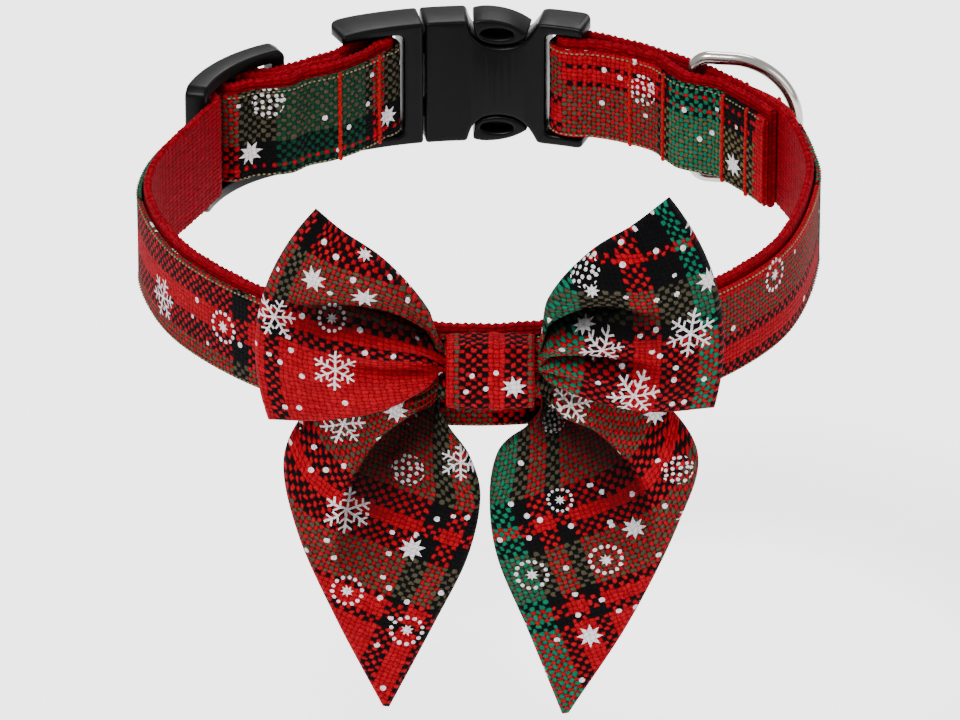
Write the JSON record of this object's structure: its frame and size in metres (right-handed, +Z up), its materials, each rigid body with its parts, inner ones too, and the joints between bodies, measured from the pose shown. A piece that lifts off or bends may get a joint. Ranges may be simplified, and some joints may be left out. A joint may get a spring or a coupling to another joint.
{
  "type": "pet bow tie collar",
  "caption": "Fastened pet collar of webbing with a plaid facing, side release buckle, slider and swinging leash ring, and a hollow fabric sailor bow in front.",
  "frame": {"origin": "centre of the neck loop, halfway up the band", "axes": "+Z up out of the loop, -Y towards the bow, +X to the side with the leash ring"},
  "size_m": [0.1191, 0.1337, 0.1007],
  "materials": {
    "webbing": "red woven webbing",
    "plaid": "red, green and black plaid weave with white printed stars and snowflakes",
    "buckle_plastic": "satin black moulded plastic",
    "nickel": "bright nickel plated wire"
  },
  "bodies": {
    "collar": {"webbing_strap": "webbing", "plaid_facing": "plaid", "buckle_socket": "buckle_plastic", "buckle_plug": "buckle_plastic", "slider": "buckle_plastic", "bow_wing_left": "plaid", "bow_wing_right": "plaid", "bow_tail_left": "plaid", "bow_tail_right": "plaid", "knot_wrap": "plaid"},
    "ring": {"leash_ring": "nickel"}
  },
  "joints": [
    {"name": "ring_swing", "type": "hinge", "parent": "collar", "child": "ring", "pos_m": [0.03822, 0.04028, 0], "axis": [0, 0, 1], "range_deg": [-6, 110]}
  ]
}
